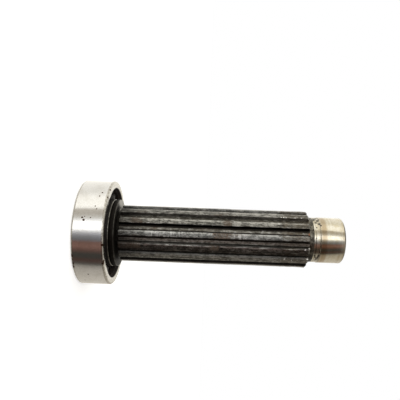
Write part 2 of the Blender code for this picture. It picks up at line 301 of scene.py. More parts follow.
class Metal(Graph):
    """A metal finish in millimetres of the object's own space."""

    def __init__(self, name):
        self.material = bpy.data.materials.new(name)
        self.material.use_nodes = True
        super().__init__(self.material.node_tree)
        place = self.node("ShaderNodeTexCoord").outputs["Object"]
        self.place = self.scaled(place, (MM, MM, MM))
        parts = self.node("ShaderNodeSeparateXYZ", {0: self.place})
        self.height = parts.outputs["Z"]
        self.radius = self.measure("LENGTH", self.scaled(self.place, (1, 1, 0)))
        self.turn = self.math("ARCTAN2", parts.outputs["Y"], parts.outputs["X"])

    def noise(self, scale, detail=3.0, roughness=0.55, squeeze=(1, 1, 1), distortion=0.0):
        """Noise whose place is first multiplied by the squeeze, part by part."""
        return self.node("ShaderNodeTexNoise",
                         {"Vector": self.scaled(self.place, squeeze), "Scale": scale,
                          "Detail": detail, "Roughness": roughness,
                          "Distortion": distortion}).outputs["Fac"]

    def streaks(self, scale, stretch, detail=4.0, roughness=0.6):
        """Noise drawn out along the shaft, stretch times longer than wide."""
        return self.noise(scale, detail, roughness, (1, 1, 1 / stretch))

    def rings(self, scale, stretch, detail=4.0, roughness=0.6):
        """Noise drawn out round the shaft, as turning and grinding leave it."""
        return self.noise(scale, detail, roughness, (1 / stretch, 1 / stretch, 1))

    def step(self, value, place, low, high):
        """A smooth step about a place in metres, from low to high millimetres off it."""
        return self.ramp(value, place * MM + low, place * MM + high)

    def facing(self, degrees):
        """The cosine of the turn round the shaft away from a side."""
        way = around(degrees, 1.0 / MM, 0.0)
        return self.math("DIVIDE", self.measure("DOT_PRODUCT", self.place, way), self.radius)

    def spots(self, rows):
        """A mask of ragged spots: degrees, radius and height in metres, and size in mm."""
        wobble = self.noise(1.4)
        masks = []
        for degrees, radius, height, size in rows:
            away = self.measure("DISTANCE", self.place, around(degrees, radius, height))
            edge = self.plus(self.times(away, 1 / size), self.times(wobble, SPOT_WOBBLE))
            masks.append(self.ramp(edge, *SPOT_EDGE))
        return self.most(*masks)

    def stretches(self, rows):
        """A mask of ragged stretches of the lands: degrees, then start and end in mm."""
        wobble = self.noise(0.9, 4.0, 0.65, (1, 1, 0.4))
        shifted = self.plus(self.height, self.times(wobble, STRETCH_WOBBLE))
        first, last = STRETCH_FADE
        masks = []
        for degrees, low, high in rows:
            x, y, _ = around(degrees, SPLINE_RADIUS, 0.0)
            away = self.scaled(self.vector("SUBTRACT", self.place, (x, y, 0)), (1, 1, 0))
            near = self.ramp(self.measure("LENGTH", away), *STRETCH_SIDES)
            begun = self.ramp(shifted, low + first, low + last)
            ended = self.ramp(shifted, high + last, high + first)
            masks.append(self.times(near, begun, ended))
        return self.most(*masks)

    def pitch_share(self, count):
        """How far round the pitch: 0 in the middle of a groove, 0.5 of a tooth, then 1."""
        return self.math("FRACT", self.times(self.turn, count / math.tau))

    def round_values(self, table, shift):
        """The numbers for the pitch that a point is in; shift turns the first row's start."""
        share = self.plus(self.times(self.turn, 1 / math.tau), shift / len(table))
        width = len(table[0])
        rows = [(index / len(table), (*row, *[1.0] * (4 - width)))
                for index, row in enumerate(table)]
        made = self.stops(self.math("FRACT", share), "CONSTANT", rows)
        split = self.node("ShaderNodeSeparateColor", {0: made.outputs["Color"]})
        return [*split.outputs, made.outputs["Alpha"]][:width]

    def blend_value(self, factor, first, second):
        """A number between two."""
        return self.node("ShaderNodeMix", {"Factor": factor, 2: first, 3: second},
                         data_type="FLOAT").outputs[0]

    def bumps(self, *layers):
        """A normal from heights over each other, each with its depth in metres."""
        normal = None
        for height, depth in layers:
            inputs = {"Strength": 1.0, "Distance": depth, "Height": height}
            if normal is not None:
                inputs["Normal"] = normal
            normal = self.node("ShaderNodeBump", inputs).outputs[0]
        return normal

    def finish(self, base, metallic, roughness, normal):
        shader = self.node("ShaderNodeBsdfPrincipled",
                           {"Base Color": base, "Metallic": metallic, "Roughness": roughness,
                            "Normal": normal})
        self.node("ShaderNodeOutputMaterial", {"Surface": shader.outputs[0]})
        return self.material


# Colours of the steel, its oil and its rust; the oil's black also serves as painted shade
GROUND_STEEL = (0.69, 0.685, 0.67)
STAINED_STEEL = (0.52, 0.50, 0.46)
RUST = (0.060, 0.028, 0.014)
BRIGHT_RUST = (0.27, 0.10, 0.036)
OIL_BLACK_AND_SHADE = (0.010, 0.008, 0.006)
DARK_GOUGE = (0.045, 0.040, 0.032)
# Side of the collar's face that is made paler, in degrees from the front
PALE_FACE_SIDE = -105.0
# Side of the rough turned stretch painted darker as shade, in degrees from the front
SHADED_SIDE = 62.0
# Side of the journal's start where it is scored most, in degrees from the front
SCORED_SIDE = 28.0
# Radius within which the outer ring is greasy and painted dark as the shade inside the bearing
RING_INSIDE = 0.0350

# Spots: how much their edges wobble, and where they begin and are full, in radii
SPOT_WOBBLE = 0.9
SPOT_EDGE = (1.8, 1.1)
# Rust spots on the outer ring: angle, height in metres and radius in millimetres
RING_SPOTS = (
    (-25.8, 0.0153, 0.42), (-22.7, 0.0166, 0.40), (-12.9, 0.0073, 0.60), (-10.4, 0.0085, 0.75),
    (-13.0, 0.0131, 0.40), (-14.1, 0.0089, 0.35), (-39.0, 0.0167, 0.50), (-44.3, 0.0180, 0.55),
    (51.4, 0.0103, 0.50), (64.6, 0.0062, 0.40), (114.7, 0.0120, 0.90), (127.7, 0.0050, 0.50),
    (159.7, 0.0165, 0.60), (-134.3, 0.0094, 0.80), (-121.3, 0.0177, 0.45),
)
# Rust on the ring's edges: angle, radius and height in metres, radius in millimetres
EDGE_SPOTS = (
    (14.4, 0.0392, 0.0223, 0.95), (32.5, 0.0390, 0.0226, 0.95), (35.0, 0.0393, 0.0222, 1.00),
    (-51.0, 0.0390, 0.0227, 0.80), (-38.0, 0.0390, 0.0227, 0.85), (58.3, 0.0384, 0.0229, 0.70),
    (27.0, 0.0393, 0.0001, 1.30), (31.5, 0.0393, 0.0000, 1.20), (36.0, 0.0393, 0.0002, 1.45),
    (40.5, 0.0393, 0.0003, 1.40), (146.7, 0.0390, 0.0226, 1.30), (-163.3, 0.0391, 0.0005, 1.60),
)

# Black in each groove, from +X round through +Y: oil in the corners, laid on thick as painted
# shade between the teeth; how much lies behind the tooth before the groove and how high up it,
# then the same for the tooth after the groove; heights in mm
GROOVE_OIL_AND_SHADE = (
    (0.8, 1.2, 0.8, 0.6), (0.5, 0.8, 0.6, 0.4), (1.0, 3.4, 0.9, 2.6), (0.9, 1.0, 0.8, 0.8),
    (0.4, 0.6, 0.7, 0.5), (1.0, 1.6, 0.8, 0.6), (0.7, 1.0, 0.6, 0.4), (0.5, 1.0, 0.8, 0.8),
    (0.2, 0.6, 0.5, 0.6), (0.15, 0.4, 0.5, 0.5), (1.0, 3.6, 1.0, 3.6), (1.0, 3.0, 0.7, 3.4),
    (1.0, 3.4, 1.0, 1.1), (1.0, 2.0, 1.0, 3.4),
)
CORNER_HEIGHT_UNIT = 4.0
# How clean the floor of each groove is
FLOOR_SHINE = (0.0, 0.3, 0.0, 0.2, 0.4, 0.0, 0.2, 0.1, 0.0, 0.0, 0.0, 0.55, 0.0, 0.0)
# Wear and painted light of each tooth, from +X round through +Y: how bare its loaded strip is;
# how dark its land is, which on tooth 12, facing down the picture, is painted shade; and how
# bright its loaded flank is, rubbed, and on tooth 12 painted light as the flank faces up
TOOTH_WEAR_AND_LIGHT = (
    (0.6, 0.3, 0.2), (0.8, 0.0, 0.5), (0.5, 0.2, 0.0), (0.9, 0.1, 0.3), (0.6, 0.4, 0.0),
    (0.7, 0.0, 0.6), (0.8, 0.2, 0.2), (0.7, 0.1, 0.0), (1.0, 0.0, 0.0), (0.80, 0.0, 0.0),
    (0.45, 0.0, 0.0), (1.0, 0.0, 0.0), (0.75, 0.4, 1.0), (0.6, 0.2, 0.0),
)

# Stretches of the lands, in mm: how much their ends wobble and fade, and how far from the
# middle of a land they begin and are full
STRETCH_WOBBLE = 8.0
STRETCH_FADE = (3.0, 5.0)
STRETCH_SIDES = (3.72, 2.52)
# The stretches themselves: degrees from the front, then start and end in mm
BRIGHT_STRETCHES = (
    (0.0, 49.0, 82.0),
    (-25.7, 52.0, 78.0),
    (51.4, 29.0, 35.0),
)
CHATTERED_STRETCHES = (
    (0.0, 52.0, 80.0),
    (51.4, 89.0, 101.0),
    (0.0, 114.0, 124.0),
    (128.6, 70.0, 95.0),
)
BROWN_STRETCHES = (
    (0.0, 99.5, 112.5), (-25.7, 107.0, 113.0), (-25.7, 38.0, 46.0), (25.7, 29.0, 46.0),
    (25.7, 97.0, 104.0), (102.9, 60.0, 75.0), (154.3, 120.0, 138.0), (-128.6, 88.0, 96.0),
)
# Dark gouges beside the journal: angle, height in metres and size in mm
GOUGES = (
    (43.5, 0.1789, 0.90), (47.0, 0.1787, 0.90), (50.5, 0.1784, 0.90), (54.5, 0.1781, 0.90),
    (59.0, 0.1778, 0.85), (64.0, 0.1775, 0.80), (44.5, 0.1760, 0.75), (49.0, 0.1765, 0.75),
    (53.0, 0.1771, 0.75), (-66.0, 0.1764, 1.50), (-58.0, 0.1754, 1.30), (-55.0, 0.1782, 1.25),
    (-47.0, 0.1768, 0.95), (-42.5, 0.1790, 1.10), (-37.0, 0.1802, 0.80), (-74.0, 0.1786, 1.40),
    (-61.0, 0.1795, 0.90), (-31.0, 0.1768, 0.60), (-3.0, 0.1762, 0.50), (150.0, 0.1770, 0.80),
    (158.0, 0.1780, 0.60), (-125.0, 0.1768, 0.70),
)
# Fresh rust and bare bruises at the end of the splines: angle, radius and height in
# metres, size in mm
END_RUST = (
    (-10.6, 0.0190, 0.1709, 0.95),
    (168.0, 0.0188, 0.1698, 0.8),
)
END_BRUISES = (
    (22.3, 0.0214, 0.1675, 0.65), (19.8, 0.0209, 0.1704, 0.65), (44.8, 0.0210, 0.1700, 0.65),
    (46.1, 0.0216, 0.1531, 0.60), (48.0, 0.0216, 0.1585, 0.35), (-46.0, 0.0216, 0.1502, 0.45),
    (-46.4, 0.0216, 0.1521, 0.50), (-45.6, 0.0216, 0.1538, 0.40), (-46.2, 0.0215, 0.1606, 0.35),
    (-45.8, 0.0215, 0.1652, 0.40), (-28.7, 0.0217, 0.1480, 0.45), (-58.4, 0.0216, 0.1622, 0.35),
    (130.0, 0.0213, 0.1690, 0.60),
)


def around(degrees, radius, height):
    """A point in millimetres at an angle round the shaft from the front."""
    angle = math.radians(degrees)
    return (radius * MM * math.sin(angle), -radius * MM * math.cos(angle), height * MM)


def on_radius(rows, radius):
    """Rows of angle, height and size with one radius put in."""
    return [(degrees, radius, height, size) for degrees, height, size in rows]


def ring_finish():
    """Ground steel of the outer ring, with rust freckles, faint stains and an inside of grease and
    painted shade.
    """
    metal = Metal("outer_ring_ground")
    ramp, step, most, cover = metal.ramp, metal.step, metal.most, metal.cover
    cloud = ramp(metal.noise(0.09, 4.0, 0.6), 0.42, 0.66)
    base = cover(GROUND_STEEL, STAINED_STEEL, cloud, 0.35)
    blotch = ramp(metal.noise(0.55, 4.0, 0.7), 0.40, 0.62)
    base = cover(base, STAINED_STEEL, blotch, 0.22)
    specks = ramp(metal.noise(0.85, 5.0, 0.75), 0.66, 0.72)
    base = cover(base, RUST, specks, 0.55)

    # The rounded edges are dull and handled
    rim = most(step(metal.height, bearing_width - RING_EDGE, -0.45, -0.15),
               step(metal.height, RING_EDGE, 0.15, -0.15))
    edge_colour = metal.blend(ramp(metal.noise(0.7, 4.0, 0.65), 0.38, 0.62), (0.56, 0.54, 0.49),
                              (0.36, 0.34, 0.30))
    base = cover(base, edge_colour, rim)

    # Rust spots, and on the inside grease with rust in it, also standing for painted shade
    rusted = metal.spots([*on_radius(RING_SPOTS, bearing_radius), *EDGE_SPOTS])
    inside = step(metal.radius, RING_INSIDE, 0.25, -0.25)
    tinted = ramp(metal.noise(0.35), 0.46, 0.62)
    spot_colour = cover(RUST, cover(OIL_BLACK_AND_SHADE, RUST, tinted, 0.5), inside)
    covered = most(rusted, inside)
    base = cover(base, spot_colour, ramp(covered, 0.0, 0.45))

    mottle = metal.noise(1.1, 4.0, 0.62)
    roughness = most(ramp(mottle, 0.25, 0.75, 0.075, 0.15), metal.times(rim, 0.26),
                     ramp(covered, 0.55, 1.0, 0.0, 0.60))
    metallic = ramp(inside, 0.1, 0.7, 1.0, 0.0)
    normal = metal.bumps((metal.rings(2.2, 30.0, 5.0, 0.65), 0.000003), (mottle, 0.000023),
                         (metal.times(rusted, -1.0), 0.000015))
    return metal.finish(base, metallic, roughness, normal)


def greased_and_shaded_steel(name, shown, dark_share, rough_low, rough_high):
    """Steel inside the bearing, black with old grease and painted shade over the given share of
    it.
    """
    metal = Metal(name)
    film = metal.noise(0.45, 4.0, 0.6)
    covered = metal.ramp(film, 0.72 - dark_share * 0.55, 0.86 - dark_share * 0.55)
    base = metal.cover(shown, OIL_BLACK_AND_SHADE, covered)
    roughness = metal.ramp(film, 0.3, 0.7, rough_low, rough_high)
    metallic = metal.ramp(covered, 0.2, 0.8, 0.9, 0.1)
    normal = metal.bumps((metal.rings(2.5, 20.0), 0.000006), (film, 0.00003))
    return metal.finish(base, metallic, roughness, normal)


def inner_ring_finish():
    """Inner ring: black with grease and painted shade, but rubbed bright along its outer corner.
    """
    metal = Metal("inner_ring_dark")
    film = metal.noise(0.5, 4.0, 0.6)
    corner = metal.times(metal.step(metal.radius, inner_shoulder - CORNER_BREAK, -0.1, 0.1),
                         metal.step(metal.height, bearing_width - CORNER_BREAK, -0.15, 0.05))
    steel = metal.blend(metal.ramp(film, 0.35, 0.65), (0.24, 0.23, 0.20), (0.10, 0.094, 0.080))
    base = metal.cover(OIL_BLACK_AND_SHADE, steel, corner)
    roughness = metal.ramp(corner, 0.0, 1.0, 0.55, 0.28)
    metallic = metal.ramp(corner, 0.0, 1.0, 0.2, 1.0)
    return metal.finish(base, metallic, roughness, metal.bumps((film, 0.00002)))


def collar_finish():
    """Collar, relief and stub: turned steel under black grease, paler on one side of the face."""
    metal = Metal("collar_oiled")
    ramp, step, blend = metal.ramp, metal.step, metal.blend
    film = metal.noise(0.35, 4.0, 0.6)
    turning = metal.rings(1.8, 40.0, 4.0, 0.6)
    # One side of the face is made paler
    pale_side = metal.times(step(metal.height, collar_top, -0.12, -0.02),
                        ramp(metal.facing(PALE_FACE_SIDE), 0.62, 0.90))
    edge = metal.times(step(metal.radius, collar_radius - CORNER_BREAK, -0.05, 0.10),
                       step(metal.height, collar_top - CORNER_BREAK, -0.10, 0.05))
    greased = blend(ramp(film, 0.35, 0.7), (0.016, 0.014, 0.011), OIL_BLACK_AND_SHADE)
    rubbed = blend(ramp(film, 0.35, 0.65), (0.085, 0.081, 0.070), (0.030, 0.028, 0.024))
    bright = blend(ramp(film, 0.38, 0.68), (0.25, 0.24, 0.215), (0.14, 0.135, 0.118))
    base = metal.cover(metal.cover(greased, rubbed, edge), bright, pale_side)
    shown = metal.most(edge, pale_side)
    roughness = metal.blend_value(shown, 0.62, ramp(turning, 0.3, 0.7, 0.34, 0.50))
    metallic = ramp(shown, 0.0, 1.0, 0.85, 1.0)
    normal = metal.bumps((turning, 0.000010), (film, 0.00003))
    return metal.finish(base, metallic, roughness, normal)


def spline_finish():
    """Splines: dark oiled steel, worn brighter on the lands, black in the corners with oil and
    painted shade.
    """
    metal = Metal("spline_worn")
    ramp, step, times = metal.ramp, metal.step, metal.times
    most, blend, cover = metal.most, metal.blend, metal.cover
    long_streaks = metal.streaks(0.95, 22.0, 4.0, 0.60)
    fine_streaks = metal.streaks(1.2, 9.0, 5.0, 0.62)
    short_streaks = metal.streaks(0.85, 2.6, 5.0, 0.65)
    patches = metal.noise(0.16, 3.0, 0.55, (1, 1, 0.45))
    pits = metal.noise(1.5, 5.0, 0.7)
    streaked = metal.plus(times(metal.streaks(2.4, 16.0, 3.0, 0.6), 0.40),
                          times(short_streaks, 0.25),
                          times(metal.noise(1.1, 4.0, 0.75, (1, 1, 0.6)), 0.35))
    lit = ramp(long_streaks, 0.38, 0.62)

    # How high up the tooth the surface is, and which stretch of the shaft it is on
    land = step(metal.radius, SPLINE_RADIUS, -0.45, -0.15)
    floor = step(metal.radius, ROOT_RADIUS, 0.6, 0.15)
    second_hub = step(metal.height, HUB_STEP_HEIGHT, -0.3, 0.3)
    peened = step(metal.height, PEENED_START, -0.6, 0.6)
    pitch = metal.pitch_share(SPLINE_COUNT)
    ragged = metal.math("SUBTRACT", metal.streaks(0.5, 6.0, 3.0), 0.5)
    shifted = metal.plus(pitch, times(ragged, 0.16))

    # Oil and painted shade: black lies thick in the corner behind each tooth and thin in the one
    # before it
    corner_rows = [(behind, behind_height / CORNER_HEIGHT_UNIT, before,
                  before_height / CORNER_HEIGHT_UNIT)
                 for behind, behind_height, before, before_height in GROOVE_OIL_AND_SHADE]
    behind, behind_height, before, before_height = metal.round_values(corner_rows, 0.5)

    def dark_below(height, soft):
        """1 from the root up to a height on the flank."""
        top = metal.plus(times(height, CORNER_HEIGHT_UNIT), ROOT_RADIUS * MM)
        return ramp(metal.math("SUBTRACT", metal.radius, top), soft, -soft)

    back = times(ramp(shifted, 0.70, 0.72), ramp(shifted, 0.965, 0.91), behind,
                 dark_below(behind_height, 0.3))
    front = times(ramp(pitch, 0.150, 0.175), ramp(pitch, 0.325, 0.308), before,
                  dark_below(before_height, 0.2))

    # Flanks and floors are dull, but some floors are clean and some flanks lighter: rubbed, and on
    # tooth 12 painted light
    dull = blend(lit, (0.121, 0.118, 0.107), (0.342, 0.338, 0.314))
    floor_steel = blend(lit, (0.078, 0.072, 0.058), (0.225, 0.212, 0.182))
    [shine] = metal.round_values([(share,) for share in FLOOR_SHINE], 0.5)
    floor_steel = cover(floor_steel, (0.46, 0.44, 0.39), shine, ramp(streaked, 0.42, 0.56))
    dull = cover(dull, floor_steel, floor)
    bareness, darkness, flank_lightness = metal.round_values(TOOTH_WEAR_AND_LIGHT, 0.0)
    lighter_flanks = times(metal.outside(land), ramp(pitch, 0.16, 0.20), ramp(pitch, 0.32, 0.29),
                         flank_lightness)
    rubbed_and_lit_steel = blend(lit, (0.27, 0.262, 0.240), (0.50, 0.49, 0.46))
    dull = cover(dull, rubbed_and_lit_steel, lighter_flanks)

    # Lands are worn, and brighter where the second hub and the stretches are
    worn = blend(ramp(streaked, 0.44, 0.57), (0.068, 0.066, 0.059), (0.248, 0.246, 0.226))
    bright = blend(ramp(streaked, 0.44, 0.55), (0.113, 0.110, 0.100), (0.342, 0.338, 0.314))
    chatter = ramp(metal.rings(0.75, 5.0, 3.0, 0.6), 0.46, 0.56)
    bright = cover(bright, (0.62, 0.61, 0.58), metal.stretches(CHATTERED_STRETCHES), chatter, 0.75)
    hub_rubbed = times(second_hub, metal.outside(peened), ramp(patches, 0.30, 0.52, 0.35, 1.0))
    brightened = times(metal.stretches(BRIGHT_STRETCHES), 0.75)
    worn = cover(worn, bright, most(hub_rubbed, brightened))
    # Painted shade on the land of tooth 12, and a darker tone on some others
    worn = cover(worn, (0.055, 0.052, 0.044), darkness, 0.8)
    # Bare strip where hubs rub along the loaded side of each land
    strip = times(ramp(pitch, 0.290, 0.318), ramp(shifted, 0.450, 0.380), land, bareness,
                  ramp(metal.streaks(0.9, 5.0, 4.0, 0.7), 0.36, 0.60))
    worn = cover(worn, (0.50, 0.49, 0.45), strip)
    base = cover(dull, worn, land)

    # Smudges of oil, and flecks where it is wiped off
    smudges = metal.noise(0.50, 4.0, 0.72, (1, 1, 0.45))
    base = cover(base, (0.040, 0.038, 0.034), ramp(smudges, 0.50, 0.60), 0.60)
    base = cover(base, (0.46, 0.45, 0.42), ramp(smudges, 0.47, 0.38), 0.55)

    # Brown film in patches, and for good where hubs have rubbed it in
    brown = blend(ramp(pits, 0.4, 0.65), (0.060, 0.040, 0.026), (0.150, 0.098, 0.062))
    film = times(ramp(patches, 0.54, 0.66), ramp(long_streaks, 0.40, 0.60), 0.6)
    rubbed_in = times(metal.stretches(BROWN_STRETCHES), ramp(pits, 0.36, 0.56))
    browned = most(film, rubbed_in)
    base = cover(base, brown, browned, 0.85)
    base = cover(base, (0.110, 0.088, 0.060), peened, ramp(short_streaks, 0.34, 0.60), 0.55)

    # Black in the corners, oil with painted shade; oil by the bearing and in the pits of the lands
    base = cover(base, OIL_BLACK_AND_SHADE, most(back, front), 0.975)
    greased = ramp(metal.plus(metal.height, times(patches, 12.0)), GREASE_END * MM + 14.0,
                   spline_start * MM + 2.0, 0.0, 0.75)
    base = cover(base, OIL_BLACK_AND_SHADE, greased)
    pitted = most(ramp(metal.noise(2.6, 4.0, 0.6), 0.60, 0.68),
                  ramp(metal.noise(0.95, 4.0, 0.8, (1, 1, 0.7)), 0.57, 0.63))
    base = cover(base, OIL_BLACK_AND_SHADE, pitted, land, 0.75)

    roughness = metal.blend_value(land, ramp(fine_streaks, 0.3, 0.7, 0.40, 0.52),
                                  ramp(fine_streaks, 0.3, 0.7, 0.27, 0.40))
    roughness = most(roughness, times(strip, 0.50), times(browned, 0.55))
    metallic = times(ramp(browned, 0.2, 0.9, 0.95, 0.55), ramp(lighter_flanks, 0.0, 1.0, 1.0, 0.70))
    rusted = metal.spots(END_RUST)
    base = cover(base, BRIGHT_RUST, rusted, 0.9)
    metallic = times(metallic, metal.outside(rusted))
    bruised = metal.spots(END_BRUISES)
    base = cover(base, (0.80, 0.79, 0.76), bruised)
    roughness = metal.blend_value(bruised, roughness, 0.45)
    normal = metal.bumps((fine_streaks, 0.00002), (short_streaks, 0.00003), (pits, 0.00005))
    return metal.finish(base, metallic, roughness, normal)


def undercut_finish():
    """Rough turned stretch beside the journal, dark, with cutter rings and painted shade on one
    side.
    """
    metal = Metal("undercut_turned")
    film = metal.noise(0.55, 5.0, 0.65)
    gouges = metal.noise(0.9, 4.0, 0.7, (0.6, 0.6, 1.0), 0.8)
    base = metal.blend(metal.ramp(film, 0.36, 0.64), (0.185, 0.172, 0.138), (0.042, 0.038, 0.030))
    base = metal.cover(base, DARK_GOUGE, metal.ramp(gouges, 0.60, 0.66), 0.85)
    # Painted shade: black on the side towards the bottom of the picture, below the splines' end
    base = metal.cover(base, OIL_BLACK_AND_SHADE, metal.ramp(metal.facing(SHADED_SIDE), 0.90, 0.99, 0.0, 0.9))
    roughness = metal.ramp(film, 0.3, 0.7, 0.28, 0.46)
    normal = metal.bumps((metal.rings(1.5, 30.0, 5.0, 0.65), 0.00005), (gouges, 0.00006))
    return metal.finish(base, 0.95, roughness, normal)


def journal_finish():
    """Ground journal: polished, straw coloured, browned in bands by heat."""
    metal = Metal("journal_ground")
    ramp, times, cover = metal.ramp, metal.times, metal.cover
    grinding = metal.rings(2.6, 40.0, 5.0, 0.6)
    cloud = metal.noise(0.20, 4.0, 0.6)
    straw = (0.575, 0.520, 0.385)
    pale = (0.665, 0.635, 0.545)
    tan = (0.36, 0.275, 0.165)
    base = metal.blend(ramp(cloud, 0.35, 0.65), straw, pale)
    heat = ramp(metal.rings(0.42, 60.0, 3.0, 0.5), 0.50, 0.68)
    base = cover(base, tan, heat, 0.45)
    off_middle = metal.math("SUBTRACT", metal.height, undercut_end * MM + 2.6)
    band = ramp(metal.math("ABSOLUTE", off_middle), 3.6, 0.8)
    base = cover(base, tan, band, 0.75)
    specks = ramp(metal.noise(0.9, 5.0, 0.72), 0.60, 0.68)
    base = cover(base, (0.22, 0.17, 0.12), specks, 0.4)

    # Scratches and dark gouges beside the undercut, and a dirty edge at the end
    scratch = metal.step(metal.height, undercut_end, 1.2, 0.2)
    coarse = metal.rings(0.85, 30.0, 4.0, 0.7)
    scored = times(scratch, ramp(coarse, 0.46, 0.60),
                   ramp(metal.facing(SCORED_SIDE), 0.60, 0.92, 0.45, 1.0))
    base = cover(base, (0.16, 0.138, 0.100), scored, 0.75)
    gouged = metal.spots(on_radius(GOUGES, JOURNAL_RADIUS - UNDERCUT_DEPTH))
    base = cover(base, DARK_GOUGE, gouged, 0.85)
    edge = metal.step(metal.height, shaft_end - JOURNAL_CHAMFER, -0.10, 0.05)
    base = cover(base, (0.13, 0.11, 0.085), edge, 0.8)
    roughness = metal.most(ramp(grinding, 0.3, 0.7, 0.09, 0.16), times(scratch, 0.20),
                           times(gouged, 0.40))
    normal = metal.bumps((grinding, 0.000004), (cloud, 0.00002), (times(coarse, scratch), 0.00003))
    return metal.finish(base, 1.0, roughness, normal)


# Meshes

def skinned(name, rows, closed, start_cap=None, end_cap=None):
    """A mesh through rows of points, each a loop round the shaft's axis.

    A closed one joins its last row to its first.  Otherwise each end runs in
    to its cap, a single point on the axis.
    """
    width = len(rows[0])
    last = len(rows) - 1
    points = [point for row in rows for point in row]
    faces = []
    row_of_face = []
    for low in range(len(rows) if closed else last):
        high = (low + 1) % len(rows)
        for index in range(width):
            following = (index + 1) % width
            faces.append((low * width + index, low * width + following, high * width + following,
                          high * width + index))
            row_of_face.append(low)
    for cap, row in ((start_cap, 0), (end_cap, last)):
        if cap is None:
            continue
        points.append(cap)
        for index in range(width):
            edge = [row * width + index, row * width + (index + 1) % width]
            if row == 0:
                edge.reverse()
            faces.append((*edge, len(points) - 1))
            row_of_face.append(row)
    mesh = bpy.data.meshes.new(name)
    mesh.from_pydata([tuple(point) for point in points], [], faces)
    mesh.validate()
    mesh.update()
    return mesh, row_of_face


def placed(name, mesh, body, nodes, materials, smooth_angle=35):
    """Put the mesh in the scene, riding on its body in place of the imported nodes."""
    mesh.shade_smooth()
    mesh.set_sharp_from_angle(angle=math.radians(smooth_angle))
    for material in materials:
        mesh.materials.append(material)
    piece = put_in_scene(name, mesh)
    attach(piece, body)
    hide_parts(*nodes)


def put_in_scene(name, data):
    """An object of that data, linked to the scene."""
    made = bpy.data.objects.new(name, data)
    bpy.context.scene.collection.objects.link(made)
    return made


def turned_row(angles, radius, height, rough=0.0):
    """A row of points round the axis at those angles, rough by up to that much."""
    row = []
    layers = TURNED_LAYERS if rough else ()
    for angle in angles:
        x = math.cos(angle)
        y = math.sin(angle)
        here = radius
        for round_it, along, share in layers:
            grain = Vector((x * round_it, y * round_it, height * along))
            here += rough * share * noise.noise(grain)
        row.append(Vector((here * x, here * y, height)))
    return row


def circle(radius, height, steps):
    """A row of evenly spaced points round the axis."""
    return turned_row([math.tau * step / steps for step in range(steps)], radius, height)


def arc(centre, radius, start_deg, end_deg, steps):
    """Points on an arc in a plane, both ends included."""
    points = []
    for step in range(steps + 1):
        angle = math.radians(start_deg + (end_deg - start_deg) * step / steps)
        points.append((centre[0] + radius * math.cos(angle), centre[1] + radius * math.sin(angle)))
    return points


def filled(mesh, made):
    """The mesh with its shape taken from a bmesh, which is then freed."""
    made.to_mesh(mesh)
    made.free()
    return mesh


def faced_outwards(mesh):
    """The closed mesh with all its faces turned outwards."""
    made = bmesh.new()
    made.from_mesh(mesh)
    bmesh.ops.recalc_face_normals(made, faces=made.faces)
    return filled(mesh, made)


def lathe(name, profile, steps):
    """A closed ring turned from a profile of (radius, height) points."""
    rows = [circle(radius, height, steps) for radius, height in profile]
    mesh, _ = skinned(name, rows, closed=True)
    return faced_outwards(mesh)


groove_radius = ball_radius + RACE_SIDE_CLEARANCE
outer_shoulder = 2 * pitch_radius - inner_shoulder
race_depth = groove_radius - (pitch_radius - inner_shoulder)
race_wrap = math.degrees(math.acos(1 - race_depth / groove_radius))


def make_outer_ring(material):
    """Outer ring: race, shoulders, a seal recess at each face, rounded edges."""
    recess = outer_shoulder + FACE_RECESS_DEPTH
    soft = RECESS_EDGE
    edge = RING_EDGE
    profile = [
        (recess + soft, bearing_width),
        (recess + soft * 0.3, bearing_width - soft * 0.3),
        (recess, bearing_width - soft),
        (recess, bearing_width - FACE_RECESS_WIDTH),
        (outer_shoulder, bearing_width - FACE_RECESS_WIDTH),
        *arc((pitch_radius, bearing_middle), groove_radius, race_wrap, -race_wrap, RACE_STEPS),
        (outer_shoulder, FACE_RECESS_WIDTH),
        (recess, FACE_RECESS_WIDTH),
        (recess, soft),
        (recess + soft, 0),
        *arc((bearing_radius - edge, edge), edge, -90, 0, 7),
        *arc((bearing_radius - edge, bearing_width - edge), edge, 0, 90, 7),
    ]
    mesh = lathe("outer_ring", profile, RING_STEPS)
    placed("outer_ring", mesh, "bearing_outer", ["bearing_outer_ring"],
           [material])


def make_inner_ring(material):
    """Inner ring: pressed on its seat, its race facing out."""
    edge = RING_EDGE
    corner = CORNER_BREAK
    profile = [
        *arc((pitch_radius, bearing_middle), groove_radius,
             180 + race_wrap, 180 - race_wrap, RACE_STEPS),
        *arc((inner_shoulder - corner, bearing_width - corner), corner, 0, 90, 4),
        *arc((BORE_RADIUS + edge, bearing_width - edge), edge, 90, 180, 3),
        *arc((BORE_RADIUS + edge, edge), edge, 180, 270, 3),
        *arc((inner_shoulder - corner, corner), corner, -90, 0, 4),
    ]
    mesh = lathe("inner_ring", profile, RING_STEPS)
    placed("inner_ring", mesh, "rotor", ["bearing_inner_ring"], [material])


def ball_place(index):
    """Centre of a ball; half numbers give the rivets between the balls."""
    angle = math.tau * index / ball_count
    return Vector((pitch_radius * math.cos(angle), pitch_radius * math.sin(angle), bearing_middle))


def make_balls(material):
    """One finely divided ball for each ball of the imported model."""
    for index in range(ball_count):
        made = bmesh.new()
        bmesh.ops.create_uvsphere(made, u_segments=BALL_SEGMENTS, v_segments=BALL_ROWS,
                                  radius=ball_radius,
                                  matrix=Matrix.Translation(ball_place(index)))
        name = f"ball_{index + 1}"
        mesh = filled(bpy.data.meshes.new(f"bright_{name}"), made)
        placed(f"bright_{name}", mesh, name, [name], [material], 180)


def ribbon_point(angle, radius, along, height):
    """A point on the ribbon's edge at a radius, beside the ball at an angle."""
    out = math.sqrt(radius ** 2 - along ** 2)
    return Vector((out * math.cos(angle) - along * math.sin(angle),
                   out * math.sin(angle) + along * math.cos(angle), height + bearing_middle))


